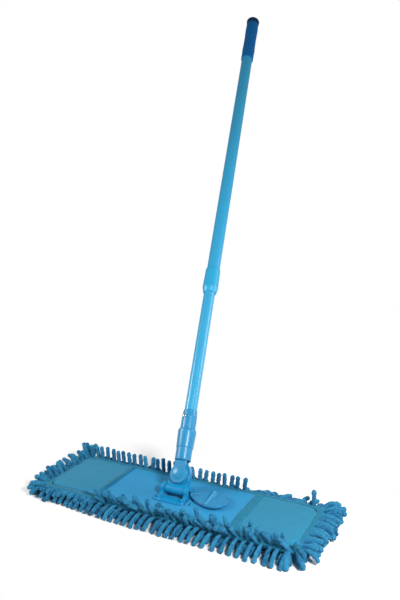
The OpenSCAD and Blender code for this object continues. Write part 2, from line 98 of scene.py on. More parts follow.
# ---------------------------------------------------------------- node helpers
class Tree:
    """A small wrapper for building one procedural material."""

    def __init__(self, name):
        self.mat = bpy.data.materials.new(name)
        self.mat.use_nodes = True
        self.nt = self.mat.node_tree
        self.nt.nodes.clear()
        self.out = self.nt.nodes.new("ShaderNodeOutputMaterial")
        self.bsdf = self.nt.nodes.new("ShaderNodeBsdfPrincipled")
        self.nt.links.new(self.bsdf.outputs[0], self.out.inputs[0])
        self.coord = self.nt.nodes.new("ShaderNodeTexCoord").outputs["Object"]

    def node(self, kind, **values):
        n = self.nt.nodes.new(kind)
        for k, v in values.items():
            setattr(n, k, v)
        return n

    def put(self, socket, value):
        if isinstance(value, bpy.types.NodeSocket):
            self.nt.links.new(value, socket)
        else:
            socket.default_value = value

    def surface(self, **values):
        """Sets or links the surface shader's inputs by their names, with _ for a space."""
        for name, value in values.items():
            self.put(self.bsdf.inputs[name.replace("_", " ")], value)

    def scaled(self, scale, rotation=(0, 0, 0)):
        n = self.node("ShaderNodeMapping")
        self.put(n.inputs["Vector"], self.coord)
        n.inputs["Scale"].default_value = scale
        n.inputs["Rotation"].default_value = rotation
        return n.outputs[0]

    def noise(self, scale, detail=3.0, rough=0.55, source=None):
        n = self.node("ShaderNodeTexNoise")
        self.put(n.inputs["Vector"], source or self.coord)
        n.inputs["Scale"].default_value = scale
        n.inputs["Detail"].default_value = detail
        n.inputs["Roughness"].default_value = rough
        return n.outputs["Fac"]

    def bands(self, axis, period, distortion=0.0):
        n = self.node("ShaderNodeTexWave", wave_type="BANDS", bands_direction=axis, wave_profile="SIN")
        self.put(n.inputs["Vector"], self.coord)
        n.inputs["Scale"].default_value = math.tau / (20 * period)
        n.inputs["Distortion"].default_value = distortion
        n.inputs["Detail"].default_value = 2
        n.inputs["Detail Scale"].default_value = 1.5
        return n.outputs["Fac"]

    def math(self, op, a, b):
        n = self.node("ShaderNodeMath", operation=op)
        self.put(n.inputs[0], a)
        self.put(n.inputs[1], b)
        return n.outputs[0]

    def span(self, value, a, b, c, d):
        """Maps value from the range a to b onto c to d."""
        n = self.node("ShaderNodeMapRange")
        self.put(n.inputs["Value"], value)
        for key, v in zip(("From Min", "From Max", "To Min", "To Max"), (a, b, c, d)):
            self.put(n.inputs[key], v)
        return n.outputs[0]

    def mix(self, fac, a, b):
        n = self.node("ShaderNodeMix", data_type="RGBA", blend_type="MIX")
        self.put(n.inputs["Factor"], fac)
        self.put(n.inputs["A"], a if isinstance(a, bpy.types.NodeSocket) else (*a, 1))
        self.put(n.inputs["B"], b if isinstance(b, bpy.types.NodeSocket) else (*b, 1))
        return n.outputs["Result"]

    def bump(self, height, distance, strength=1.0, normal=None):
        n = self.node("ShaderNodeBump")
        n.inputs["Strength"].default_value = strength
        n.inputs["Distance"].default_value = distance
        self.put(n.inputs["Height"], height)
        if normal is not None:
            self.put(n.inputs["Normal"], normal)
        return n.outputs[0]

    def edge(self, radius):
        """1 on sharp edges and 0 on flats, with the softened normal."""
        bev = self.node("ShaderNodeBevel", samples=4)
        bev.inputs["Radius"].default_value = radius
        geo = self.node("ShaderNodeNewGeometry")
        dot = self.node("ShaderNodeVectorMath", operation="DOT_PRODUCT")
        self.put(dot.inputs[0], bev.outputs[0])
        self.put(dot.inputs[1], geo.outputs["Normal"])
        return self.span(dot.outputs["Value"], 0.98, 0.80, 0.0, 1.0), bev.outputs[0]


def tint(colour, k):
    return tuple(min(1.0, x * k) for x in colour)


# ---------------------------------------------------------------- kinds of material
def plastic(name, base, rough=0.32, grain=0.00003, grain_scale=900, spread=0.08, coat=0.0, wear=0.35,
            specular=0.5):
    """Moulded plastic: slight clouding, fine moulding grain, scuffs, and paler rubbed edges."""
    t = Tree(name)
    c = t.mix(t.noise(22, 3), tint(base, 1 - spread), tint(base, 1 + spread))
    edge, soft = t.edge(0.0006)
    rub = t.math("MULTIPLY", edge, t.span(t.noise(140, 4), 0.42, 0.62, 0.0, wear))
    pale = tuple(x + (1 - x) * 0.35 for x in base)
    scuff = t.span(t.noise(1, 4, 0.6, t.scaled((90, 420, 160), (0.3, 0.5, 0.9))), 0.60, 0.72, 0.0, 1.0)
    cloud = t.span(t.noise(60, 3), 0.3, 0.7, rough - 0.04, rough + 0.06)
    t.surface(
        Base_Color=t.mix(rub, c, pale),
        Roughness=t.math("ADD", cloud, t.math("MULTIPLY", scuff, 0.10)),
        Specular_IOR_Level=specular,
        Coat_Weight=coat,
        Coat_Roughness=0.15,
        Normal=t.bump(t.noise(grain_scale, 2), grain, 1.0, soft),
    )
    return t.mat


def steel(name, base, rough):
    """Drawn steel: fine level lines and faint stains."""
    t = Tree(name)
    lines = t.noise(1, 3, 0.6, t.scaled((60, 60, 900)))
    stain = t.span(t.noise(160, 4), 0.35, 0.7, 0, 1)
    _, soft = t.edge(0.0004)
    t.surface(
        Base_Color=t.mix(stain, base, tint(base, 0.72)),
        Metallic=1.0,
        Roughness=t.span(lines, 0.3, 0.7, rough - 0.08, rough + 0.12),
        Normal=t.bump(lines, 0.00002, 0.6, soft),
    )
    return t.mat


def chenille(name, base, tip):
    """Looped chenille yarn: fuzzy and lumpy, with painted shade in the lumps' hollows and between the
    fibres, no two fingers quite alike.
    """
    t = Tree(name)
    each = t.node("ShaderNodeNewGeometry").outputs["Random Per Island"]
    fuzz_and_fibre_shade = t.noise(1100, 3, 0.7)
    lump_and_hollow_shade = t.noise(260, 3, 0.6)
    # painted shade in the lumps' hollows: the lumps' low parts take the dark base colour and their high
    # parts the lit tip colour
    c = t.mix(t.span(lump_and_hollow_shade, 0.32, 0.68, 0, 1), base, tip)
    # painted shade between the fibres: the fine fuzz darkens the colour further
    c = t.mix(t.span(fuzz_and_fibre_shade, 0.35, 0.65, 0.0, 0.55), c, tint(base, 0.35))
    t.surface(
        Base_Color=t.mix(t.span(each, 0, 1, 0.0, 0.55), c, tint(tip, 1.05)),
        Roughness=t.span(fuzz_and_fibre_shade, 0.3, 0.7, 0.85, 1.0),
        Sheen_Weight=0.22,
        Sheen_Roughness=0.45,
        Sheen_Tint=(0.25, 0.70, 0.95, 1),
        Specular_IOR_Level=0.15,
        Normal=t.bump(t.math("ADD", t.math("MULTIPLY", fuzz_and_fibre_shade, 0.5), lump_and_hollow_shade), 0.0011, 1.0),
    )
    return t.mat


def woven(name, base, dark, period, depth):
    """Plain woven cloth: crossed threads, slubs and slow mottling."""
    t = Tree(name)
    cross = t.math("MAXIMUM", t.bands("X", period, 0.6), t.bands("Y", period, 0.6))
    slub = t.noise(1, 3, 0.6, t.scaled((40, 900, 300)))
    cloud = t.noise(30, 4)
    c = t.mix(t.span(cross, 0.2, 0.95, 0, 1), dark, base)
    c = t.mix(t.span(slub, 0.4, 0.75, 0.0, 0.30), c, tint(base, 1.25))
    t.surface(
        Base_Color=t.mix(t.span(cloud, 0.3, 0.7, 0.0, 0.16), c, dark),
        Roughness=t.span(cross, 0, 1, 0.95, 0.78),
        Sheen_Weight=0.10,
        Sheen_Roughness=0.4,
        Specular_IOR_Level=0.2,
        Normal=t.bump(t.math("ADD", cross, t.math("MULTIPLY", slub, 0.6)), depth),
    )
    return t.mat


def nylon(name, base):
    """Natural nylon: nearly even, slightly translucent."""
    t = Tree(name)
    t.surface(
        Base_Color=t.mix(t.noise(80, 3), tint(base, 0.9), base),
        Roughness=t.span(t.noise(200, 2), 0.3, 0.7, 0.4, 0.55),
        Subsurface_Weight=0.1,
        Normal=t.bump(t.noise(1500, 2), 0.00003),
    )
    return t.mat


# ---------------------------------------------------------------- colours and materials
GRIP = (0.002, 0.118, 0.345)
CAP = (0.002, 0.030, 0.085)
TUBE_UP = (0.030, 0.300, 0.520)
TUBE_LO = (0.032, 0.305, 0.520)
COLLAR = (0.022, 0.305, 0.520)
SOCKET = (0.022, 0.225, 0.430)
JOINT = (0.006, 0.235, 0.470)
PLATE = (0.030, 0.262, 0.500)

MATERIALS = {
    "grip": plastic("grip_plastic", GRIP, rough=0.60, grain=0.00006, grain_scale=1400, spread=0.10,
                    wear=0.15, specular=0.25),
    "cap": plastic("cap_plastic", CAP, rough=0.55, grain=0.00004, grain_scale=1200, wear=0.2,
                   specular=0.25),
    "tube_upper": plastic("tube_paint_upper", TUBE_UP, rough=0.34, grain=0.00002, grain_scale=420,
                          spread=0.05, coat=0.12, wear=0.3),
    "tube_lower": plastic("tube_paint_lower", TUBE_LO, rough=0.32, grain=0.00002, grain_scale=420,
                          spread=0.05, coat=0.15, wear=0.3),
    "collar": plastic("collar_plastic", COLLAR, rough=0.34, grain=0.00005, grain_scale=800),
    "socket": plastic("socket_plastic", SOCKET, rough=0.30, grain=0.00003, grain_scale=800, spread=0.06,
                      coat=0.05, specular=0.42),
    "joint": plastic("joint_plastic", JOINT, rough=0.24, grain=0.00004, grain_scale=800, spread=0.06,
                     coat=0.2),
    "plate": plastic("plate_plastic", PLATE, rough=0.34, grain=0.00006, grain_scale=700, spread=0.05,
                     wear=0.2),
    # painted shade: the pedal takes the plate's colour made darker, for the shade that falls in its
    # recessed tread
    "pedal": plastic("pedal_plastic_painted_shade", tint(PLATE, 0.88), rough=0.30, grain=0.00005, grain_scale=700,
                     spread=0.05, coat=0.05, wear=0.5),
    "white": nylon("white_nylon", (0.82, 0.82, 0.78)),
    "black": plastic("black_plastic", (0.012, 0.012, 0.014), rough=0.4, grain=0.00004, grain_scale=800),
    "button": steel("button_metal", (0.80, 0.74, 0.72), rough=0.16),
    "steel": steel("bright_steel", (0.62, 0.64, 0.67), rough=0.25),
    "dark_steel": steel("dark_steel", (0.045, 0.055, 0.075), rough=0.40),
    # chenille_yarn: the first colour is painted shade for the yarn's hollows and gaps, and the second is
    # the lit yarn
    "chenille": chenille("chenille_yarn", (0.002, 0.056, 0.185), (0.034, 0.256, 0.440)),
    # chenille_pile: the yarn's colours with a darker tip colour, painted shade for the pile under the pad
    # and the mat that closes it
    "pile": chenille("chenille_pile", (0.007, 0.075, 0.185), (0.028, 0.180, 0.330)),
    "pocket": woven("pocket_cloth", (0.024, 0.232, 0.375), (0.012, 0.150, 0.270), 0.0011, 0.00016),
    "backing": woven("backing_cloth", (0.024, 0.150, 0.250), (0.012, 0.085, 0.160), 0.0014, 0.00025),
    "hem": woven("hem_tape", (0.010, 0.188, 0.305), (0.004, 0.112, 0.202), 0.0018, 0.00030),
    "thread": woven("stitch_thread", (0.045, 0.290, 0.370), (0.025, 0.190, 0.260), 0.0006, 0.00010),
}
BY_MATERIAL = {
    "grip": ("grip",),
    "cap": ("grip_cap",),
    "tube_upper": ("upper_tube",),
    "tube_lower": ("lower_tube",),
    "collar": ("twist_collar",),
    "socket": ("tube_sleeve", "socket"),
    "joint": ("cross_piece", "bracket"),
    "plate": ("base_plate", "wing_plate"),
    "pedal": ("pedal",),
    "white": ("collet",),
    "black": ("guide_plug",),
    "button": ("snap_button",),
    "steel": ("snap_spring", "bracket_screws", "hinge_pin", "pedal_pin", "pedal_spring"),
    "dark_steel": ("ear_pin", "axle"),
}
for key, names in BY_MATERIAL.items():
    for name in names:
        data = nodes[name].data
        data.materials.clear()
        data.materials.append(MATERIALS[key])


# ---------------------------------------------------------------- mesh helpers
def make(name, verts, faces, mat):
    me = bpy.data.meshes.new(name)
    me.from_pydata([tuple(v) for v in verts], [], faces)
    me.validate()
    me.update()
    me.polygons.foreach_set("use_smooth", [True] * len(me.polygons))
    ob = bpy.data.objects.new(name, me)
    bpy.context.scene.collection.objects.link(ob)
    me.materials.append(MATERIALS[mat])
    return ob


def add_loft(verts, faces, rings, loop=False, flip=False):
    """A skin over rings of points: capped at both ends, or joined from its last ring to its first."""
    first, count, m = len(verts), len(rings), len(rings[0])
    for ring in rings:
        verts.extend(ring)

    def face(corners):
        faces.append(tuple(first + c for c in corners))

    for i in range(count if loop else count - 1):
        here, there = i * m, (i + 1) % count * m
        for j in range(m):
            k = (j + 1) % m
            if flip:
                face((here + j, there + j, there + k, here + k))
            else:
                face((here + j, here + k, there + k, there + j))
    if not loop:
        for cap in (range(m - 1, -1, -1), range((count - 1) * m, count * m)):
            face(cap[::-1] if flip else cap)


def ring_points(centre, u, v, radius, sides):
    turns = [math.tau * j / sides for j in range(sides)]
    return [centre + (u * math.cos(a) + v * math.sin(a)) * radius for a in turns]


def add_slab(verts, faces, nx, ny, point, flip=False):
    """A closed sheet nx by ny cells: point(layer, i, j) is on its underside for layer 0, on top for 1."""
    first = len(verts)
    verts.extend(point(layer, i, j) for layer in (0, 1) for j in range(ny + 1) for i in range(nx + 1))

    def at(layer, i, j):
        return first + (layer * (ny + 1) + j) * (nx + 1) + i

    def face(*corners):
        faces.append(corners[::-1] if flip else corners)

    for j in range(ny):
        for i in range(nx):
            face(at(0, i, j), at(0, i, j + 1), at(0, i + 1, j + 1), at(0, i + 1, j))
            face(at(1, i, j), at(1, i + 1, j), at(1, i + 1, j + 1), at(1, i, j + 1))
    for i in range(nx):
        face(at(0, i, 0), at(0, i + 1, 0), at(1, i + 1, 0), at(1, i, 0))
        face(at(0, i + 1, ny), at(0, i, ny), at(1, i, ny), at(1, i + 1, ny))
    for j in range(ny):
        face(at(0, 0, j + 1), at(0, 0, j), at(1, 0, j), at(1, 0, j + 1))
        face(at(0, nx, j), at(0, nx, j + 1), at(1, nx, j + 1), at(1, nx, j))


def outline(s, inset):
    """Point and outward normal on the pad's rounded outline, s metres round it from the middle of the
    front, moved in by inset. Goes right, back, left, front."""
    hl, hw, r = HALF_L - R_PAD, HALF_W - R_PAD, R_PAD
    arc = r * math.pi / 2
    s = (s + hl) % outline_length()
    corners = [(-hl, -hw), (hl, -hw), (hl, hw), (-hl, hw)]
    for i in range(4):
        leg = 2 * (hw if i % 2 else hl)
        turn = (i - 1) * math.pi / 2
        n = Vector((math.cos(turn), math.sin(turn), 0))
        if s < leg:
            return Vector((*corners[i], 0)) + Vector((-n.y, n.x, 0)) * s + n * (r - inset), n
        s -= leg
        if s < arc:
            turn += s / r
            n = Vector((math.cos(turn), math.sin(turn), 0))
            return Vector((*corners[(i + 1) % 4], 0)) + n * (r - inset), n
        s -= arc
    return outline(0, inset)


def outline_length():
    return 4 * (HALF_L - R_PAD) + 4 * (HALF_W - R_PAD) + 2 * math.pi * R_PAD


def pad_xy(i, j, nx, ny, inset):
    """Grid point i, j of the pad moved in by inset, kept inside its rounded corners."""
    x = (-1 + 2 * i / nx) * (HALF_L - inset)
    y = (-1 + 2 * j / ny) * (HALF_W - inset)
    ex, ey = abs(x) - (HALF_L - R_PAD), abs(y) - (HALF_W - R_PAD)
    if ex > 0 and ey > 0 and math.hypot(ex, ey) > R_PAD - inset:
        k = (R_PAD - inset) / math.hypot(ex, ey)
        x = math.copysign(HALF_L - R_PAD + ex * k, x)
        y = math.copysign(HALF_W - R_PAD + ey * k, y)
    return x, y


# ---------------------------------------------------------------- chenille fingers
def finger_path(base, start_dir, side, length, radius, droop, sway, steps):
    """Points along a finger that droops, sways to one side and lies on the floor where it meets it."""
    d = start_dir.normalized()
    p = base.copy()
    path = [p.copy()]
    low = radius * 0.92
    for i in range(steps):
        k = i / steps
        d = (d - UP * droop * (0.35 + k) / steps + side * sway * (0.3 + k) / steps).normalized()
        p = p + d * (length / steps)
        if p.z < low:
            p.z = low
            d.z = max(d.z, 0.0)
            d.normalize()
        path.append(p.copy())
    return path


ROUND_END = ((0.45, 0.86), (0.80, 0.55))     # rings past the end, and their size, in shares of the radius


def add_finger(verts, faces, rng, base, start_dir, side, length, radius, droop, sway, steps=9, sides=9):
    """One chenille finger: a lumpy, round-ended tube along its path."""
    path = finger_path(base, start_dir, side, length, radius, droop, sway, steps)
    n = len(path)
    twist = rng.uniform(0, math.tau)
    rings = []
    for i in range(n):
        t = (path[min(n - 1, i + 1)] - path[max(0, i - 1)]).normalized()
        u = Vector((0.13, 0.21, 0.97)).cross(t)
        if u.length < 0.05:
            u = Vector((1, 0, 0)).cross(t)
        u.normalize()
        swell = 0.80 + 0.25 * min(1.0, 2.2 * i / n)
        rings.append((path[i], u, t.cross(u), radius * swell))
    t = (path[-1] - path[-2]).normalized()
    end, u, v, r = rings[-1]
    for lift, share in ROUND_END:
        rings.append((end + t * r * lift, u, v, r * share))

    def above_floor(q):
        return Vector((q.x, q.y, max(q.z, FLOOR_GAP)))

    first = len(verts)
    for i, (c, u, v, ring_r) in enumerate(rings):
        for j in range(sides):
            a = math.tau * j / sides
            spiral = 0.10 * math.sin(2 * a + twist + i * 1.9)
            k = ring_r * (1 + spiral + rng.uniform(-0.08, 0.08))
            verts.append(above_floor(c + (u * math.cos(a) + v * math.sin(a)) * k))
    last = first + (len(rings) - 1) * sides
    for row in range(first, last, sides):
        for j in range(sides):
            a, b = row + j, row + (j + 1) % sides
            faces.append((a, b, b + sides, a + sides))
    verts.append(above_floor(end + t * ring_r * 1.02))
    verts.append(base - start_dir.normalized() * radius * 0.5)
    tip, root = len(verts) - 2, len(verts) - 1
    faces.extend((last + j, last + (j + 1) % sides, tip) for j in range(sides))
    faces.extend((first + (j + 1) % sides, first + j, root) for j in range(sides))


# One finger: degrees above level, length, how it bends down and sideways, how far it leans along the
# edge, and radius.
Finger = namedtuple("Finger", "elevation length droop sway lean radius")
LONG_SIDE = 0.7          # a normal with this much Y is on a long side of the pad
SHORT_SIDE = 0.6         # and with this much X on an end
FLATTENED_X = -0.095     # left of here the near side's fingers are pressed flat


def end_reach(p):
    """The right end's fingers are shorter in its near half."""
    return 1.0 if p.y > 0 else 0.86


def upper_finger(p, n, rng):
    """The finger of the upper row at p on the outline, where its normal is n."""
    u = rng.uniform
    if n.y > LONG_SIDE:
        if p.x > 0.155:
            return Finger(u(18, 52), 0.020, 0.6, -0.3, u(0.2, 0.8), 0.0031)
        if p.x > 0.088:
            return Finger(u(16, 36), 0.020, 0.7, -0.5, u(0.6, 1.3), 0.0031)
        if p.x > 0.0:
            return Finger(u(86, 92), u(0.0198, 0.0222), 0.0, u(-0.08, 0.08), u(0.10, 0.20), 0.0031)
        return Finger(u(76, 88), u(0.0205, 0.0240), 0.05, u(-0.12, 0.12), -u(0.02, 0.22), 0.0031)
    if n.y < -LONG_SIDE:
        if p.x < FLATTENED_X:
            return Finger(u(2, 32), u(0.011, 0.015), u(0.6, 1.4), u(-0.4, 0.1), -u(0.3, 1.1), 0.0029)
        if p.x < 0.06:
            return Finger(u(52, 96), u(0.019, 0.025), u(0.2, 0.9), u(-0.5, 0.2), -u(0.1, 0.75),
                          u(0.0027, 0.0030))
        return Finger(u(60, 104), u(0.020, 0.025), u(0.1, 0.6), u(-0.4, 0.3), -u(-0.2, 0.45),
                      u(0.0027, 0.0030))
    if n.x < 0:
        return Finger(u(28, 50), u(0.018, 0.023), 0.15, u(-0.15, 0.15), u(-0.3, 0.15), u(0.0029, 0.0034))
    return Finger(u(12, 30), u(0.022, 0.027) * end_reach(p), 0.9, u(-0.12, 0.12), u(-0.15, 0.15),
                  u(0.0027, 0.0031))


def edge_finger(p, n, rng):
    """The same for the extra row that lies over the tape's outer edge on the near side and the ends."""
    u = rng.uniform
    if n.y > LONG_SIDE:
        return None
    if n.y < -LONG_SIDE:
        if p.x < FLATTENED_X:
            return Finger(u(-14, 30), u(0.010, 0.014), u(0.6, 1.2), u(-0.3, 0.2), -u(0.2, 0.9), 0.0029)
        return Finger(u(56, 100), u(0.015, 0.020), u(0.2, 0.8), u(-0.4, 0.3), -u(-0.05, 0.6),
                      u(0.0027, 0.0030))
    if n.x < 0:
        return Finger(u(12, 34), u(0.020, 0.025), 0.4, u(-0.15, 0.15), u(-0.3, 0.2), u(0.0029, 0.0034))
    return Finger(u(2, 20), u(0.022, 0.027) * end_reach(p), 1.2, u(-0.12, 0.12), u(-0.15, 0.15),
                  u(0.0028, 0.0031))


def second_finger(p, n, rng):
    """The same for the row that starts at the tape's outer edge and drapes to the floor."""
    u = rng.uniform
    if n.x < -SHORT_SIDE:
        return Finger(u(0, 20), u(0.023, 0.028), 1.4, u(-0.15, 0.15), u(-0.2, 0.2), u(0.0030, 0.0034))
    if n.x > SHORT_SIDE:
        return Finger(u(-6, 12), u(0.022, 0.027) * end_reach(p), 1.6, u(-0.1, 0.1), u(-0.1, 0.1),
                      u(0.0029, 0.0032))
    if n.y < 0:
        right = max(0.0, min(1.0, (p.x - 0.06) / 0.1))
        left = max(0.0, min(1.0, (-0.05 - p.x) / 0.10))
        lean = -0.5 + 0.32 * right + u(-0.10, 0.10)
        return Finger(-8 - 34 * left + u(-8, 8), 0.0235 - 0.0080 * left + u(-0.001, 0.001),
                      1.7 - 1.1 * left, u(-0.1, 0.1), lean, u(0.0026, 0.0029))
    return Finger(u(-12, 16), u(0.021, 0.026), 2.4, u(-0.2, 0.2), u(-0.15, 0.15), 0.0033)


def low_finger(p, n, rng):
    """The same for the short row below, which closes the pad's side."""
    u = rng.uniform
    return Finger(u(-34, -10), u(0.011, 0.015), 1.2, u(-0.2, 0.2), u(-0.4, 0.1), 0.0031)


# rows of fingers: their shape, the height and inset of their roots, their spacing and its unevenness
ROWS = (
    (upper_finger, HEM_TOP - 0.0030, 0.0038, 0.0104, 0.10),
    (edge_finger, HEM_TOP - 0.0034, 0.0016, 0.0104, 0.22),
    (second_finger, HEM_TOP - 0.0036, -0.0002, 0.0110, 0.10),
    (low_finger, 0.0085, 0.0050, 0.0100, 0.25),
)
# longer fingers at the corners: signs of x and y, directions in degrees, elevation, length, droop, radius
CORNERS = (
    (1, 1, (52, 40, 30, 64), 12, 0.030, 0.5, 0.0037),
    (1, -1, (-80, -46), -16, 0.022, 1.6, 0.0036),
    (-1, -1, (-178, -168, -158, -148), 8, 0.029, 0.9, 0.0034),
    (-1, 1, (122, 138, 152), 38, 0.029, 0.3, 0.0036),
)
LONE_FINGER_X = (0.178, 0.188)           # one finger of the far row stands straight up here
BEHIND_TAPE = (0.0030, -0.0028)          # the far upper row stands this far out and down, behind the tape


def add_row(verts, faces, rng, choose, z, inset, pitch, jitter):
    total = outline_length()
    count = int(total / pitch)
    for i in range(count):
        p, n = outline(total * (i + rng.uniform(-jitter, jitter)) / count, inset)
        finger = choose(p, n, rng)
        if finger is None:
            continue
        root = Vector((p.x, p.y, z + rng.uniform(-0.0006, 0.0006)))
        if choose is upper_finger:
            if n.y > LONG_SIDE:
                root += n * BEHIND_TAPE[0] + UP * BEHIND_TAPE[1]
            if n.y > 0 and abs(n.x) < 0.3 and LONE_FINGER_X[0] < p.x < LONE_FINGER_X[1]:
                finger = Finger(90, 0.025, 0.0, 0.0, 0.0, finger.radius)
        side = Vector((-n.y, n.x, 0))
        along = Vector((1, 0, 0)) if abs(n.y) > LONG_SIDE else side
        a = math.radians(finger.elevation)
        d = n * math.cos(a) + UP * math.sin(a) + along * finger.lean
        add_finger(verts, faces, rng, root, d, side, finger.length, finger.radius, finger.droop,
                   finger.sway)


def add_corner(verts, faces, rng, sx, sy, turns, rise, length, droop, radius):
    centre = Vector((sx * (HALF_L - R_PAD), sy * (HALF_W - R_PAD), HEM_TOP - 0.0042))
    for turn in turns:
        for layer in (0, 1):
            w = math.radians(turn + rng.uniform(-5, 5))
            n = Vector((math.cos(w), math.sin(w), 0))
            e = math.radians(rise - 16 * layer + rng.uniform(-6, 6))
            d = n * math.cos(e) + UP * math.sin(e)
            root = centre + n * (R_PAD - 0.001)
            side = Vector((-n.y, n.x, 0))
            reach = length * rng.uniform(0.92, 1.06)
            sway = rng.uniform(-0.2, 0.2)
            add_finger(verts, faces, rng, root, d, side, reach, radius, droop + 0.6 * layer, sway)


def build_fringe():
    rng = random.Random(41)
    verts, faces = [], []
    for row in ROWS:
        add_row(verts, faces, rng, *row)
    for corner in CORNERS:
        add_corner(verts, faces, rng, *corner)
    ob = make("fringe_fingers", verts, faces, "chenille")
    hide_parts("fringe_left", "fringe_right")
    return ob


def build_sole():
    """Pile under the pad: a dense bed of fingers lying over each other, under a mat that closes it."""
    rng = random.Random(17)
    verts, faces = [], []
    rows, cols, margin = 13, 42, 0.006
    for j in range(rows):
        y = -HALF_W + margin + 2 * (HALF_W - margin) * j / (rows - 1)
        for i in range(cols):
            x = -HALF_L + margin + 2 * (HALF_L - margin) * (i + (0.5 if j % 2 else 0)) / cols
            x += rng.uniform(-0.0015, 0.0015)
            a = rng.gauss(-math.pi / 2 if (i // 3) % 2 else math.pi / 2, 0.6)
            d = Vector((math.cos(a), math.sin(a), rng.uniform(-0.7, -0.3)))
            side = Vector((-d.y, d.x, 0)).normalized()
            root = Vector((x, y, 0.0105))
            reach = root + d.normalized() * 0.02
            if abs(reach.x) > HALF_L - 0.004 or abs(reach.y) > HALF_W - 0.004:
                d.x, d.y = -d.x * 0.4, -d.y * 0.4
            add_finger(verts, faces, rng, root, d, side, rng.uniform(0.019, 0.025),
                       rng.uniform(0.0030, 0.0036), 1.2, rng.uniform(-0.5, 0.5), steps=7, sides=8)
    nx, ny = 64, 18

    def mat_point(layer, i, j):
        x, y = pad_xy(i, j, nx, ny, 0.002)
        if layer:
            return Vector((x, y, BACK_Z0 - 0.0003))
        return Vector((x, y, 0.0096 + 0.0008 * noise.noise(Vector((x * 90, y * 90, 0)))))

    add_slab(verts, faces, nx, ny, mat_point)
    # the pile material's darker tip colour is painted shade for the pile and mat under the pad
    ob = make("sole_pile", verts, faces, "pile")
    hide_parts("sole_left", "sole_right")
    return ob


# ---------------------------------------------------------------- backing, hem and stitches
def build_backing():
    """The woven cloth that the pile and the pockets are sewn to."""
    nx, ny = 110, 34
    thick = 0.0010
    verts, faces = [], []

    def point(layer, i, j):
        x, y = pad_xy(i, j, nx, ny, 0.001)
        ripple = 0.0005 * noise.noise(Vector((x * 40, y * 40, 3.1)))
        return Vector((x, y, BACK_Z1 - 0.0008 + ripple - (0 if layer else thick)))

    add_slab(verts, faces, nx, ny, point)
    ob = make("pad_backing", verts, faces, "backing")
    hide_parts("backing_left", "backing_right")
    return ob


# the hem's section: how far in from the outline, and how far over the backing
HEM_PROFILE = (
    (0.0000, -0.0034), (-0.0006, -0.0018), (-0.0007, 0.0002), (0.0002, 0.0016), (0.0018, 0.0023),
    (0.0040, 0.0026), (0.0062, 0.0023), (0.0084, 0.0019), (0.0096, 0.0010), (0.0098, 0.0000),
    (0.0094, -0.0010), (0.0060, -0.0012), (0.0030, -0.0026), (0.0012, -0.0036),
)
STITCH_PITCH = 0.0042


def build_hem():
    """Rounded tape folded round the pad's edge, slightly wavy."""
    count = 520
    rings = []
    for i in range(count):
        s = outline_length() * i / count
        pull = 0.00022 * math.sin(s * math.tau / STITCH_PITCH)
        puff = 0.0005 * noise.noise(Vector((s * 60, 0, 7.7))) + pull
        sway = 0.0009 * noise.noise(Vector((s * 26, 4.2, 0)))
        ring = []
        for inset, rise in HEM_PROFILE:
            p, _ = outline(s, inset + sway)
            ring.append(Vector((p.x, p.y, BACK_Z1 + rise + puff * (1 if rise > 0 else 0.2))))
        rings.append(ring)
    verts, faces = [], []
    add_loft(verts, faces, rings, loop=True)
    ob = make("pad_hem", verts, faces, "hem")
    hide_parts("hem_left", "hem_right")
    return ob


def add_thread(verts, faces, a, b, lift):
    """A short stitch: a thread that arches from a to b, up by lift, and dives in at its ends."""
    side = (b - a).normalized().cross(UP).normalized()
    steps, sides, radius = 5, 6, 0.00032
    rings = []
    for i in range(steps + 1):
        arch = math.sin(math.pi * i / steps)
        centre = a.lerp(b, i / steps) + UP * lift * (arch - 0.25)
        rings.append(ring_points(centre, side, UP, radius * (0.8 + 0.3 * arch), sides))
    add_loft(verts, faces, rings)


def build_hem_stitches():
    verts, faces = [], []
    total = outline_length()
    count = int(total / STITCH_PITCH)
    inset, length, lift = 0.0086, 0.0026, 0.0005
    height = UP * (BACK_Z1 + 0.0021)
    for i in range(count):
        s = total * i / count
        start, _ = outline(s, inset)
        end, _ = outline(s + length, inset)
        add_thread(verts, faces, start + height, end + height, lift)
    ob = make("hem_stitches", verts, faces, "thread")
    return ob


# ---------------------------------------------------------------- pockets
def pocket_height(u, v, seed):
    """Height of the pocket's cloth: u in from the mouth, v across, both in metres. It ripples, opens a
    little at the mouth and is pulled into shallow waves there."""
    broad = 0.0007 * noise.noise(Vector((u * 34, v * 22, seed)))
    fine = 0.0004 * noise.noise(Vector((u * 80, v * 70, seed + 5)))
    opening = 0.0011 * math.exp(-u / 0.010) * (1 - (v / POCKET_HW) ** 2)
    pull = 0.0005 * math.sin(v * 95 + seed) * math.exp(-u / 0.03)
    return PLATE_TOP + 0.0009 + broad + fine + opening + pull


def sewn_down(z, distance):
    """The height z, brought down to the seam in the last few millimetres before the pocket's edge."""
    k = min(1.0, max(0.0, distance / 0.0036))
    return SEAM_Z + (z - SEAM_Z) * math.sin(k * math.pi / 2) ** 0.8 if k < 1 else z


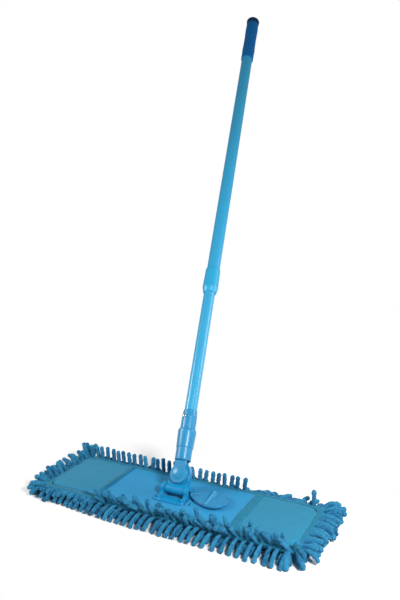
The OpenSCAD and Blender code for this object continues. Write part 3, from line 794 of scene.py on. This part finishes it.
def build_pocket_cloth(sign, body, label, seed):
    nu, nv = 60, 64
    thick, corner_r = 0.0009, 0.015
    corner_x = POCKET_X + POCKET_DEPTH - corner_r

    def point(layer, i, j):
        u = POCKET_DEPTH * i / nu
        v = -POCKET_HW + 2 * POCKET_HW * j / nv
        x, y = POCKET_X + u, v
        to_end, to_side = POCKET_DEPTH - u, POCKET_HW - abs(v)
        distance = min(to_end, to_side)
        if to_end < corner_r and to_side < corner_r:
            distance = corner_r - math.hypot(corner_r - to_end, corner_r - to_side)
        z = sewn_down(pocket_height(u, v, seed), distance)
        if distance < 0:
            centre = Vector((corner_x, math.copysign(POCKET_HW - corner_r, v), 0))
            x, y, _ = centre + (Vector((x, y, 0)) - centre).normalized() * corner_r
        return Vector((sign * x, y, z - (0 if layer else thick)))

    verts, faces = [], []
    add_slab(verts, faces, nu, nv, point, flip=sign < 0)
    ob = make(f"pocket_cloth_{label}", verts, faces, "pocket")
    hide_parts(f"pocket_{label}")
    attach(ob, body)
    return ob


def tape_profile(width):
    """Section of the tape folded over the mouth: how far in from the mouth, and over the cloth."""
    return (
        (-0.0009, -0.0008), (-0.0013, 0.0004), (-0.0007, 0.0013), (0.0010, 0.0015), (width * 0.5, 0.0014),
        (width - 0.0006, 0.0013), (width, 0.0006), (width - 0.0004, 0.0001), (width * 0.5, 0.0001),
        (0.0012, 0.0001), (0.0004, -0.0012), (-0.0002, -0.0014),
    )


def build_binding(sign, body, label, seed, width):
    """Ribbed tape over the pocket's mouth."""
    steps, margin = 90, 0.0016
    rings = []
    for j in range(steps + 1):
        v = -POCKET_HW + margin + 2 * (POCKET_HW - margin) * j / steps
        rib = 0.00012 * math.sin(v * math.tau / 0.0021)
        ring = []
        for inset, rise in tape_profile(width):
            z = sewn_down(pocket_height(max(0.0, inset), v, seed), POCKET_HW - abs(v))
            ring.append(Vector((sign * (POCKET_X + inset), v, z + rise + (rib if rise > 0.001 else 0))))
        rings.append(ring)
    verts, faces = [], []
    add_loft(verts, faces, rings, flip=sign > 0)
    ob = make(f"binding_tape_{label}", verts, faces, "hem")
    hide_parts(f"binding_{label}")
    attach(ob, body)
    return ob


def build_binding_stitches(sign, body, label, seed, width):
    """Stitches along the tape's inner edge."""
    margin, pitch, length, lift = 0.004, 0.0038, 0.0024, 0.0004
    verts, faces = [], []
    count = int(2 * (POCKET_HW - margin) / pitch)
    for i in range(count):
        v = -POCKET_HW + margin + 2 * (POCKET_HW - margin) * i / count
        u = width - 0.0014
        start = Vector((sign * (POCKET_X + u), v, pocket_height(u, v, seed) + 0.0014))
        add_thread(verts, faces, start, start + Vector((0, length, 0)), lift)
    ob = make(f"binding_stitches_{label}", verts, faces, "thread")
    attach(ob, body)


def build_pocket(sign, body, label, seed, tape_width):
    cloth = build_pocket_cloth(sign, body, label, seed)
    tape = build_binding(sign, body, label, seed, tape_width)
    build_binding_stitches(sign, body, label, seed, tape_width)
    return cloth, tape


# ---------------------------------------------------------------- pedal spring
def build_spring():
    """Conical coil spring under the pedal."""
    lo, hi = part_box("pedal_spring")
    cx, cy, wire = (lo.x + hi.x) / 2, (lo.y + hi.y) / 2, 0.00032
    low, high = lo.z + wire, hi.z - wire
    outer = (hi.x - lo.x) / 2 - wire
    turns, steps, sides = 3.5, 150, 8
    dead_coil, narrowing = 0.12, 0.34
    rings = []
    for i in range(steps + 1):
        k = i / steps
        a = math.tau * turns * k
        rise = min(1.0, max(0.0, (k - dead_coil) / (1 - 2 * dead_coil)))
        out = Vector((math.cos(a), math.sin(a), 0))
        centre = Vector((cx, cy, low + (high - low) * rise)) + out * outer * (1.0 - narrowing * k)
        rings.append(ring_points(centre, out, UP, wire, sides))
    verts, faces = [], []
    add_loft(verts, faces, rings)
    ob = make("pedal_coil", verts, faces, "steel")
    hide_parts("pedal_spring")
    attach(ob, "wing")
    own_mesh(ob)


# ---------------------------------------------------------------- pieces
fringe = build_fringe()
sole = build_sole()
backing = build_backing()
hem = build_hem()
stitches = build_hem_stitches()
pocket_l, tape_l = build_pocket(-1, "base", "left", seed=9.0, tape_width=0.0048)
pocket_r, tape_r = build_pocket(1, "wing", "right", seed=3.0, tape_width=0.0092)
build_spring()
for piece in (fringe, sole, backing, hem, stitches):
    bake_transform(piece)


# ---------------------------------------------------------------- set
# soft lamps: place, what they face, width in metres and power
LAMPS = {
    "key": ((0.60, -0.36, 0.56), (0.0, 0.02, 0.05), 0.18, 8.0),
    "side": ((-0.60, -0.24, 0.50), (0.0, 0.02, 0.05), 0.34, 3.8),
    "back": ((0.60, 0.46, 0.44), (0.0, 0.0, 0.0), 0.40, 2.2),
}
FLOOR_HALF = 30
FADE = (0.25, 0.40)      # the floor turns to plain white between these distances from the origin


def add_lamp(name, place, target, size, power):
    light = bpy.data.lights.new(name, "AREA")
    light.shape = "DISK"
    light.size = size
    light.energy = power
    ob = bpy.data.objects.new(name, light)
    bpy.context.scene.collection.objects.link(ob)
    ob.location = place
    ob.rotation_euler = (Vector(target) - Vector(place)).to_track_quat("-Z", "Y").to_euler()


def floor_paint():
    """Pale matt paint, fading to plain white away from the mop."""
    t = Tree("floor_paint")
    t.surface(
        Base_Color=t.mix(t.noise(6, 2), (0.95, 0.94, 0.93), (0.97, 0.96, 0.95)),
        Roughness=0.9,
        Specular_IOR_Level=0.05,
    )
    glow = t.node("ShaderNodeEmission")
    away = t.node("ShaderNodeVectorMath", operation="LENGTH")
    t.put(away.inputs[0], t.scaled((1.0, 1.9, 1.0)))
    blend = t.node("ShaderNodeMixShader")
    t.put(blend.inputs[0], t.span(away.outputs["Value"], *FADE, 0.0, 1.0))
    t.put(blend.inputs[1], t.bsdf.outputs[0])
    t.put(blend.inputs[2], glow.outputs[0])
    t.put(t.out.inputs[0], blend.outputs[0])
    return t.mat


def add_floor():
    me = bpy.data.meshes.new("floor")
    corners = [(-1, -1), (1, -1), (1, 1), (-1, 1)]
    me.from_pydata([(x * FLOOR_HALF, y * FLOOR_HALF, 0) for x, y in corners], [], [(0, 1, 2, 3)])
    me.materials.append(floor_paint())
    floor = bpy.data.objects.new("floor", me)
    bpy.context.scene.collection.objects.link(floor)


def set_world():
    """A white surround that is seen at full strength and lights only weakly."""
    world = bpy.data.worlds.new("world")
    bpy.context.scene.world = world
    world.use_nodes = True
    nt = world.node_tree
    background = nt.nodes["Background"]
    background.inputs[0].default_value = (1, 1, 1, 1)
    seen = nt.nodes.new("ShaderNodeLightPath").outputs["Is Camera Ray"]
    level = nt.nodes.new("ShaderNodeMapRange")
    level.inputs["To Min"].default_value = 0.16
    level.inputs["To Max"].default_value = 1.0
    nt.links.new(seen, level.inputs["Value"])
    nt.links.new(level.outputs[0], background.inputs[1])


set_camera()
add_floor()
set_world()
for lamp, values in LAMPS.items():
    add_lamp(lamp, *values)
bpy.context.scene.view_settings.view_transform = "Standard"
